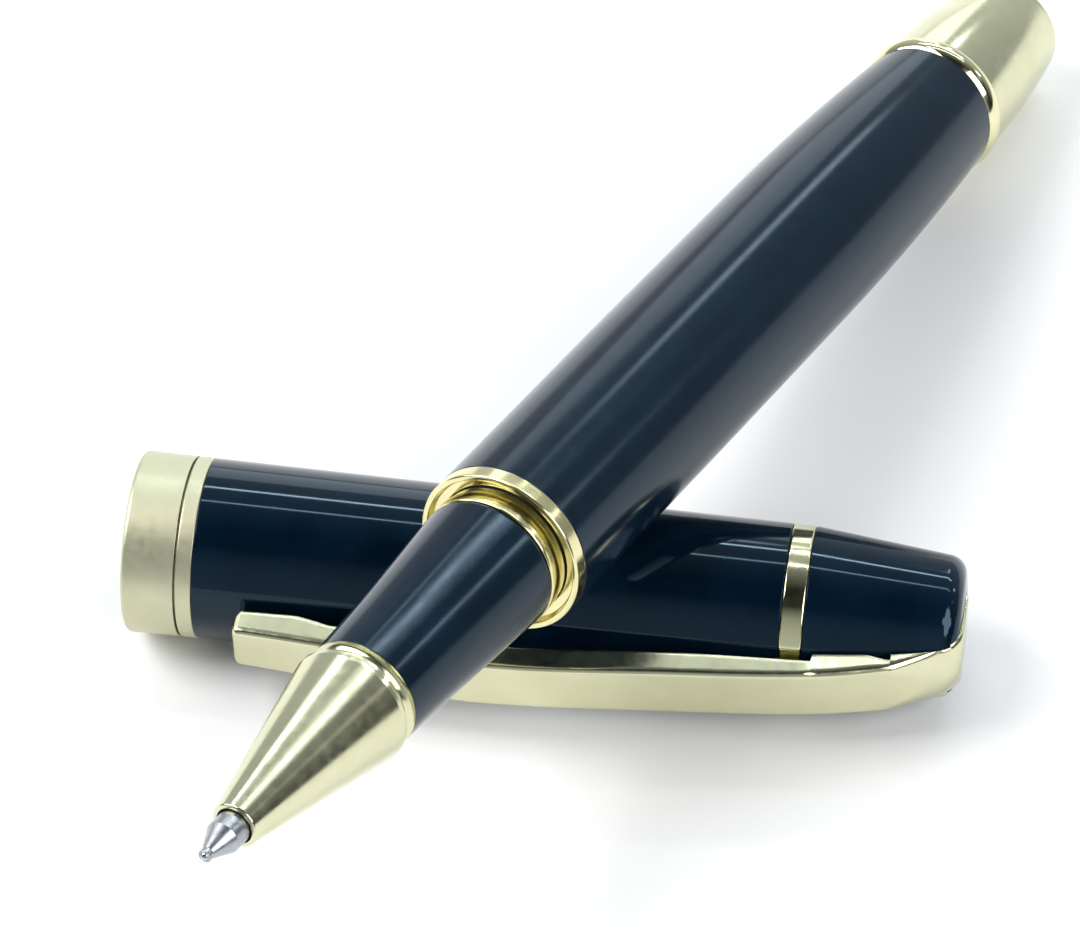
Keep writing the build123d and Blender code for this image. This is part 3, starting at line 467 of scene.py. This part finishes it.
settle(lathe("lip_trim_ring_fine", CAP, [
    (TRIM_FROM, LIP_SLEEVE_R + SEAT), (TRIM_FROM, cap_r(TRIM_FROM), EASED),
    (TRIM_TO, cap_r(TRIM_TO), EASED), (TRIM_TO, LIP_SLEEVE_R + SEAT),
], SATIN_GOLD), "cap", "lip_trim_ring")

settle(lathe("cap_tube_fine", CAP, [
    (TRIM_TO + SEAT, LIP_SLEEVE_R + SEAT), (TRIM_TO + SEAT, cap_r(TRIM_TO), CRISP),
    (TUBE_TO, cap_r(TUBE_TO), CRISP), (TUBE_TO, TUBE_IN_R),
    (LIP_SPIGOT_TO + SEAT, TUBE_IN_R), (LIP_SPIGOT_TO + SEAT, LIP_SLEEVE_R + SEAT),
], NAVY), "cap", "cap_tube")

settle(lathe("crown_ring_fine", CAP, [
    (TUBE_TO + SEAT, CROWN_BUSH_R), (TUBE_TO + SEAT, cap_r(TUBE_TO), SOFT),
    (CROWN_FROM - SEAT, cap_r(CROWN_FROM), SOFT), (CROWN_FROM - SEAT, CROWN_BUSH_R),
], BRIGHT_GOLD), "cap", "crown_ring")

# The crown's side ends in an arc, and a shallow dome closes it.
dome_r, dome_rise = CROWN_R - CROWN_EDGE, CAP_LENGTH - CROWN_SIDE_TO - CROWN_EDGE
crown_side = (CROWN_SIDE_TO - CROWN_FROM, CROWN_R - WAIST_R)
crown_corner = arc_from(
    (CROWN_SIDE_TO, CROWN_R), crown_side, (CROWN_SIDE_TO + CROWN_EDGE, dome_r), 12
)
dome_ball_r = (dome_r ** 2 + dome_rise ** 2) / (2 * dome_rise)
dome = turned(crown_corner[-1], (CAP_LENGTH, 0), Vector((CAP_LENGTH - dome_ball_r, 0)), 10)
crown = lathe("crown_shell_fine", CAP, [
    (CROWN_FROM, CROWN_BUSH_R), (CROWN_FROM, WAIST_R, CRISP), *crown_corner, *dome[1:],
    (CROWN_SCREW_TO, 0), (CROWN_SCREW_TO, CROWN_SCREW_R),
    (CROWN_BUSH_TO, CROWN_SCREW_R), (CROWN_BUSH_TO, CROWN_BUSH_R),
], NAVY)

# The slot for the clip's root and tang, cut past the crown's end.
slot_half, slot_floor = TANG_HALF + CLIP_GAP, TANG_FROM - CLIP_GAP
past_end, past_axis = CAP_LENGTH + 1, -TANG_PAST_AXIS - CLIP_GAP
slot_line = [
    (slot_floor, past_axis), (slot_floor, ROOT_SEAT_R), (SINK_FROM, SINK_R),
    (SINK_FROM, WAIST_R), (past_end, WAIST_R), (past_end, past_axis),
]
slot_cutter = loft("crown_slot", [
    [CAP.at(s, r) + CAP.other * side * slot_half * MM for s, r in slot_line] for side in (-1, 1)
], NAVY)
settle(cut_away(crown, slot_cutter), "cap", "crown_shell")

# ------------------------------------------------------------------ clip
clip_outer, clip_inner = curve_through(CLIP_OUTER), curve_through(CLIP_INNER)
root_side = (ROOT_EDGE_FROM - ROOT_CORNER_FROM, ROOT_EDGE_R - ROOT_CORNER_R)
root_corner = arc_from(
    (ROOT_EDGE_FROM, ROOT_EDGE_R), root_side, (CAP_LENGTH, ROOT_EDGE_END_R), 24
)
root_turned = [(0, FLAT_R), (ROOT_CORNER_FROM, ROOT_CORNER_R), *root_corner]
crown_clear = [(s, r + CLIP_GAP) for s, r in (
    (CLIP_CLEAR_FROM, cap_r(CLIP_CLEAR_FROM)), (CROWN_FROM, WAIST_R), *crown_corner,
)]
root_seat = (
    (ROOT_FROM, ROOT_SEAT_R), (SINK_FROM, SINK_R + CLIP_GAP),
    (TANG_FROM - CLIP_GAP, ROOT_SEAT_R + CLIP_GAP),
)


def clip_top(s, side):
    """Outer face of the clip at a station, and so far to the side of the middle."""
    round_r = between(root_turned, s)
    return min(clip_outer(s), sqrt(max(round_r ** 2 - side ** 2, SMALLEST_RISE ** 2)))


def clip_under(s, side):
    """Inner face of the clip: flat, but bent round the cap where it lies on it."""
    if s <= CLIP_PAD[-1][0]:
        return between(CLIP_PAD, s)
    if s >= TANG_FROM:
        return -TANG_PAST_AXIS
    flat = clip_inner(s) if s < ROOT_FROM else between(root_seat, s)
    if s <= CLIP_CLEAR_FROM:
        return flat
    saddle = sqrt(between(crown_clear, s) ** 2 - side ** 2)
    return max(flat, saddle) if s < SINK_FROM else min(flat, saddle)


def clip_half(s, rise):
    """Half of the clip's width at a station and height. It grows towards the cap."""
    return min(TANG_HALF, between(CLIP_WIDTHS, s) + (CLIP_PEAK_RISE - rise) * CLIP_DRAFT)


def clip_loop(s):
    """One section of the clip, across the cap's axis."""
    inset = 0
    for reach, rounding in ((s - CLIP_FROM, FRONT_ROUND), (CAP_LENGTH - s, END_ROUND)):
        if reach < rounding:
            inset = rounding - sqrt(max(rounding ** 2 - (rounding - reach) ** 2, 0))
    low, high = clip_under(s, 0) + inset, clip_top(s, 0) - inset
    height = high - low
    half = clip_half(s, (low + high) / 2) - inset
    top, under = min(TOP_ROUND, TOP_SHARE * height), min(UNDER_ROUND, UNDER_SHARE * height)
    corners = ((half, height, top), (-half, height, top), (-half, 0, under), (half, 0, under))
    loop = []
    for i, (x, y, rounding) in enumerate(corners):
        sx, sy = (1 if x > 0 else -1), (1 if y > 0 else -1)
        mid_x, mid_y = x - sx * rounding, y - sy * rounding
        for k in range(CORNER_STEPS + 1):
            angle = pi / 2 * (i + k / CORNER_STEPS)
            loop.append((mid_x + rounding * cos(angle), mid_y + rounding * sin(angle)))
        next_rounding = corners[(i + 1) % 4][2]
        if i in (0, 2):
            span = 2 * half - rounding - next_rounding
            loop += [(mid_x - sx * span * k / ACROSS_STEPS, y) for k in range(1, ACROSS_STEPS)]
        else:
            span = height - rounding - next_rounding
            loop += [(x, mid_y - sy * span * k / UP_STEPS) for k in range(1, UP_STEPS)]
    points = []
    for x, y in loop:
        share = y / height
        side = x / half * (clip_half(s, low + y) - inset)
        rise = (clip_under(s, side) + inset) * (1 - share) + (clip_top(s, side) - inset) * share
        points.append(CAP.at(s, rise) + CAP.other * side * MM)
    return points


def stations(start, step, count):
    return [start + step * k for k in range(count)]


# Sections are close together where the clip's shape turns: its ends, root and tang.
clip_stations = [
    *(CLIP_FROM + FRONT_ROUND * (1 - cos(pi / 2 * k / 8)) for k in range(9)),
    *stations(CLIP_FROM + FRONT_ROUND, 0.5, 82),
    ROOT_FROM - 0.05, ROOT_FROM + 0.05, *stations(ROOT_FROM + 0.65, 0.35, 14),
    SINK_FROM - 0.02, SINK_FROM + 0.02, *stations(SINK_FROM + 0.2, 0.2, 20),
    TANG_FROM - HAIR, *stations(TANG_FROM, 0.15, 5),
    *(CAP_LENGTH - END_ROUND * (1 - sin(pi / 2 * k / 6)) for k in range(7)),
]
clip_stations = sorted({round(s, 4) for s in clip_stations})
settle(loft("clip_fine", [clip_loop(s) for s in clip_stations], GOLD), "clip", "clip")

# ------------------------------------------------------------------ barrel and tail
barrel_back = arc_from((STRAIGHT_TO, barrel_r), (1, 0), (BARREL_TO, BARREL_END_R), 24)
settle(lathe("barrel_tube_fine", PEN, [
    (BARREL_TO, BARREL_BORE_R), (BUSH_TO, BARREL_BORE_R), (BUSH_TO, BUSH_R),
    (RING_LEN + SEAT, BUSH_R), (RING_LEN + SEAT, RING_R, CRISP),
    (STRAIGHT_FROM, barrel_r), *barrel_back,
], SOFT_NAVY), "barrel", "barrel_tube")

settle(lathe("mouth_ring_fine", PEN, [
    (0, RING_R - RING_RIM, RING_ROUND), (0, RING_R, SOFT),
    (RING_LEN, RING_R, RING_ROUND), (RING_LEN, RING_HOLE_R),
    (RING_RECESS, RING_HOLE_R, RECESS_ROUND),
    (RING_RECESS, RING_R - RING_RIM_FOOT, RIM_FOOT_ROUND),
], YELLOW_GOLD), "barrel", "mouth_ring")

tail_bead = arc_through(
    (TAIL_RING_TO, TAIL_RING_BACK_R), ((BARREL_TO + TAIL_RING_TO) / 2, TAIL_RING_R),
    (BARREL_TO + SEAT, TAIL_RING_FRONT_R), 16,
)
settle(lathe("tail_ring_fine", PEN, [
    (BARREL_TO + SEAT, TAIL_SPIGOT_R), (TAIL_RING_TO, TAIL_SPIGOT_R), *tail_bead,
], BRIGHT_GOLD), "barrel", "tail_ring")

tail_corner = turned(
    (PEN_TAIL, TAIL_R - TAIL_ROUND), (PEN_TAIL - TAIL_ROUND, TAIL_R),
    Vector((PEN_TAIL - TAIL_ROUND, TAIL_R - TAIL_ROUND)), 12,
)
finial_side = arc_through(
    (PEN_TAIL - TAIL_ROUND, TAIL_R), FINIAL_MIDDLE, (TAIL_RING_TO + SEAT, FINIAL_R), 20
)
settle(lathe("tail_finial_fine", PEN, [
    (TAIL_RING_TO + SEAT, TAIL_SPIGOT_R), (TAIL_SPIGOT_TO, TAIL_SPIGOT_R),
    (TAIL_SPIGOT_TO, TAIL_BORE_R), (PEN_TAIL - END_WALL, TAIL_BORE_R),
    (PEN_TAIL - END_WALL, 0), (PEN_TAIL, 0), *tail_corner, *finial_side[1:],
], GOLD), "barrel", "tail_finial")

# ------------------------------------------------------------------ grip section
settle(lathe("hub_ring_fine", PEN, [
    (HUB_FRONT, CORE_R + SEAT), (HUB_FRONT, GRIP_REAR_R, HUB_ROUND),
    (HUB_BACK, GRIP_REAR_R, EASED), (HUB_BACK, HUB_BACK_R),
    (HUB_SINK, HUB_BACK_R, CRISP), (HUB_SINK, CORE_R + SEAT),
], YELLOW_GOLD), "section", "hub_ring")

grip_from = GRIP_REAR - GRIP_ROUND
grip_curve = curve_through(((GRIP_FRONT, GRIP_FRONT_R), GRIP_WAIST, (grip_from, GRIP_REAR_R)))
grip_side = [(s, grip_curve(s)) for s in stations(grip_from, -GRIP_SPACING, GRIP_STEPS)]
grip_edge = turned(
    (GRIP_REAR, GRIP_REAR_R - GRIP_ROUND), (grip_from, GRIP_REAR_R),
    Vector((grip_from, GRIP_REAR_R - GRIP_ROUND)), 8,
)
settle(lathe("grip_sleeve_fine", PEN, [
    (GRIP_FRONT, GRIP_FRONT_R, CRISP), (GRIP_FRONT, CORE_FRONT_R + SEAT),
    (CORE_STEP, CORE_FRONT_R + SEAT), (CORE_STEP, CORE_R + SEAT),
    (GRIP_REAR, CORE_R + SEAT), *grip_edge, *grip_side[1:],
], SOFT_NAVY), "section", "grip_sleeve")

bead_side = arc_through(
    (GRIP_FRONT - SEAT, GRIP_FRONT_R), ((GRIP_FRONT + BEAD_FRONT) / 2, BEAD_R),
    (BEAD_FRONT + SEAT, BEAD_FRONT_R), 20,
)
settle(lathe("bead_ring_fine", PEN, [
    (BEAD_FRONT + SEAT, CORE_FRONT_R + SEAT), (GRIP_FRONT - SEAT, CORE_FRONT_R + SEAT),
    *bead_side,
], GOLD), "section", "bead_ring")

settle(lathe("nose_cone_fine", PEN, [
    (BEAD_FRONT, CONE_R, CONE_ROUND), (BEAD_FRONT - CONE_COLLAR, CONE_R, COLLAR_ROUND),
    (CONE_FRONT, CONE_END_R, CONE_ROUND), (CONE_FRONT, CONE_HOLE_R, CONE_HOLE_ROUND),
    (CONE_FRONT + CONE_HOLE_LEN, CONE_HOLE_R), CONE_SHOULDER,
    (CONE_BORE_FROM, CORE_BORE_R), (BEAD_FRONT, CORE_BORE_R),
], GOLD), "section", "nose_cone")


def thread(station, radius, angle):
    """Depth of the thread's groove, one turn for each pitch, fading at both ends."""
    if radius < CORE_R - HAIR:
        return 0
    phase = ((station - THREAD_FROM) / THREAD_PITCH - angle / (2 * pi)) % 1
    from_end = min(station - THREAD_FROM, THREAD_TO - station)
    fade = max(0, min(1, from_end / THREAD_FADE))
    return fade * THREAD_DEPTH * max(0, 1 - abs(phase - 0.5) * THREAD_PITCH / THREAD_HALF)


settle(lathe("section_core_fine", PEN, [
    (CORE_FRONT, CORE_BORE_R), (CORE_FRONT, CORE_FRONT_R),
    (CORE_STEP + SEAT, CORE_FRONT_R), (CORE_STEP + SEAT, CORE_R),
    (CORE_FINE_FROM, CORE_R, 0, CORE_FINE_SPACING), (CORE_FINE_TO, CORE_R),
    (CORE_TO, CORE_R, CORE_ROUND), (CORE_TO, CORE_BORE_R, EASED),
], BRASS, sides=CORE_SIDES, relief=thread), "section", "section_core")

# ------------------------------------------------------------------ refill's tip
settle(lathe("refill_tip_fine", PEN, [
    (TIP_FRONT, TIP_RIM_R), (TIP_FRONT, SNOUT_R, SNOUT_ROUND),
    (SNOUT_FROM, SNOUT_R, SNOUT_FOOT_ROUND), (TIP_CONE_FROM, TIP_R, TIP_ROUND),
    (TIP_BACK, TIP_R), (TIP_BACK, FEED_R), FEED_TO, BALL_SEAT, (BALL_AT, SOCKET_R),
], STEEL, sides=CORE_SIDES), "refill", "refill_tip")

ball_side, ball_centre = (BALL_AT, BALL_R), Vector((BALL_AT, 0))
ball_line = turned((BALL_AT - BALL_R, 0), ball_side, ball_centre, BALL_STEPS)
ball_line += turned(ball_side, (BALL_AT + BALL_R, 0), ball_centre, BALL_STEPS)[1:]
settle(
    lathe("writing_ball_fine", PEN, ball_line, CARBIDE, sides=BALL_SIDES),
    "ball", "writing_ball",
)

# ------------------------------------------------------------------ floor and light
FLOOR_HALF, FLOOR_DROP = 2.0, 0.00002       # in metres; it lies just under the object
FLOOR_NOISE, FLOOR_GREYS = (20, 2), (0.88, 0.91)

pale = Nodes("pale_floor", Roughness=0.6, Specular_IOR_Level=0.2)
pale.colour(pale.ramp(pale.noise(*FLOOR_NOISE), NOISE_SPAN, FLOOR_GREYS))
floor = add_mesh(
    "floor",
    [(x * FLOOR_HALF, y * FLOOR_HALF, 0) for x, y in ((-1, -1), (1, -1), (1, 1), (-1, 1))],
    [(0, 1, 2, 3)],
    pale.material,
)
floor.location.z = -FLOOR_DROP


def softbox(name, azimuth, elevation, distance, size, radiance, colour=(1, 1, 1)):
    """A rectangular light that faces the object: size in metres, radiance as the eye sees it."""
    a, e = radians(azimuth), radians(elevation)
    away = Vector((cos(e) * cos(a), cos(e) * sin(a), sin(e)))
    light = bpy.data.lights.new(name, "AREA")
    light.shape = "RECTANGLE"
    light.size, light.size_y = size
    light.energy = radiance * pi * size[0] * size[1]
    light.color = colour
    obj = bpy.data.objects.new(name, light)
    bpy.context.scene.collection.objects.link(obj)
    facing = away.to_track_quat("Z", "Y").to_matrix().to_4x4()
    obj.matrix_world = Matrix.Translation(away * distance) @ facing


# The world's grey by direction, from the front of the scene (0) to the back (1).
STUDIO = (
    (0.0, 0.60), (0.10, 0.40), (0.22, 0.03), (0.42, 0.02),
    (0.52, 0.12), (0.62, 0.22), (0.76, 0.45), (1.0, 0.75),
)
STUDIO_TINT = (0.88, 0.95, 1.0)

world = bpy.data.worlds.new("studio")
bpy.context.scene.world = world
world.use_nodes = True
tree = world.node_tree
direction = tree.nodes.new("ShaderNodeTexCoord")
split = tree.nodes.new("ShaderNodeSeparateXYZ")
tree.links.new(direction.outputs["Generated"], split.inputs["Vector"])
spread = tree.nodes.new("ShaderNodeMapRange")
spread.inputs["From Min"].default_value, spread.inputs["From Max"].default_value = -1, 1
tree.links.new(split.outputs["Y"], spread.inputs["Value"])
ramp = tree.nodes.new("ShaderNodeValToRGB")
tree.links.new(spread.outputs["Result"], ramp.inputs["Fac"])
stops = ramp.color_ramp.elements
while len(stops) < len(STUDIO):
    stops.new(0.5)
for stop, (at, grey) in zip(stops, STUDIO):
    stop.position, stop.color = at, (*(grey * share for share in STUDIO_TINT), 1)
tree.links.new(ramp.outputs["Color"], tree.nodes["Background"].inputs["Color"])

FAINT, COOL = (0.93, 0.97, 1.0), (0.9, 0.96, 1.0)
COOLER, COOLEST = (0.88, 0.95, 1.0), (0.85, 0.94, 1.0)
softbox("left_box", 178, 38, 0.95, (0.6, 0.6), 5.4)
softbox("left_top_box", 186, 60, 0.85, (0.40, 0.28), 7.0)
softbox("right_box", -34, 42, 0.95, (0.6, 0.6), 5.6)
softbox("back_panel", 97, 14, 0.95, (0.30, 0.38), 1.35, FAINT)
softbox("top_strip", 90, 44.5, 0.85, (0.9, 0.034), 16.0, COOLER)
softbox("high_strip", 90, 66.5, 0.85, (0.9, 0.026), 9.0, COOLEST)
softbox("back_strip", 77, 28, 0.9, (0.07, 0.16), 5.4, COOL)
softbox("grip_strip", 94, 35.5, 0.9, (0.06, 0.06), 4.4, COOL)
softbox("grip_light", 30, 28, 0.6, (0.045, 0.09), 9.0, COOL)
softbox("cone_light", 50, 58, 0.8, (0.07, 0.09), 1.5)
softbox("cone_strip", 11, 35, 0.8, (0.06, 0.10), 1.0)
bpy.context.scene.view_settings.view_transform = "Standard"
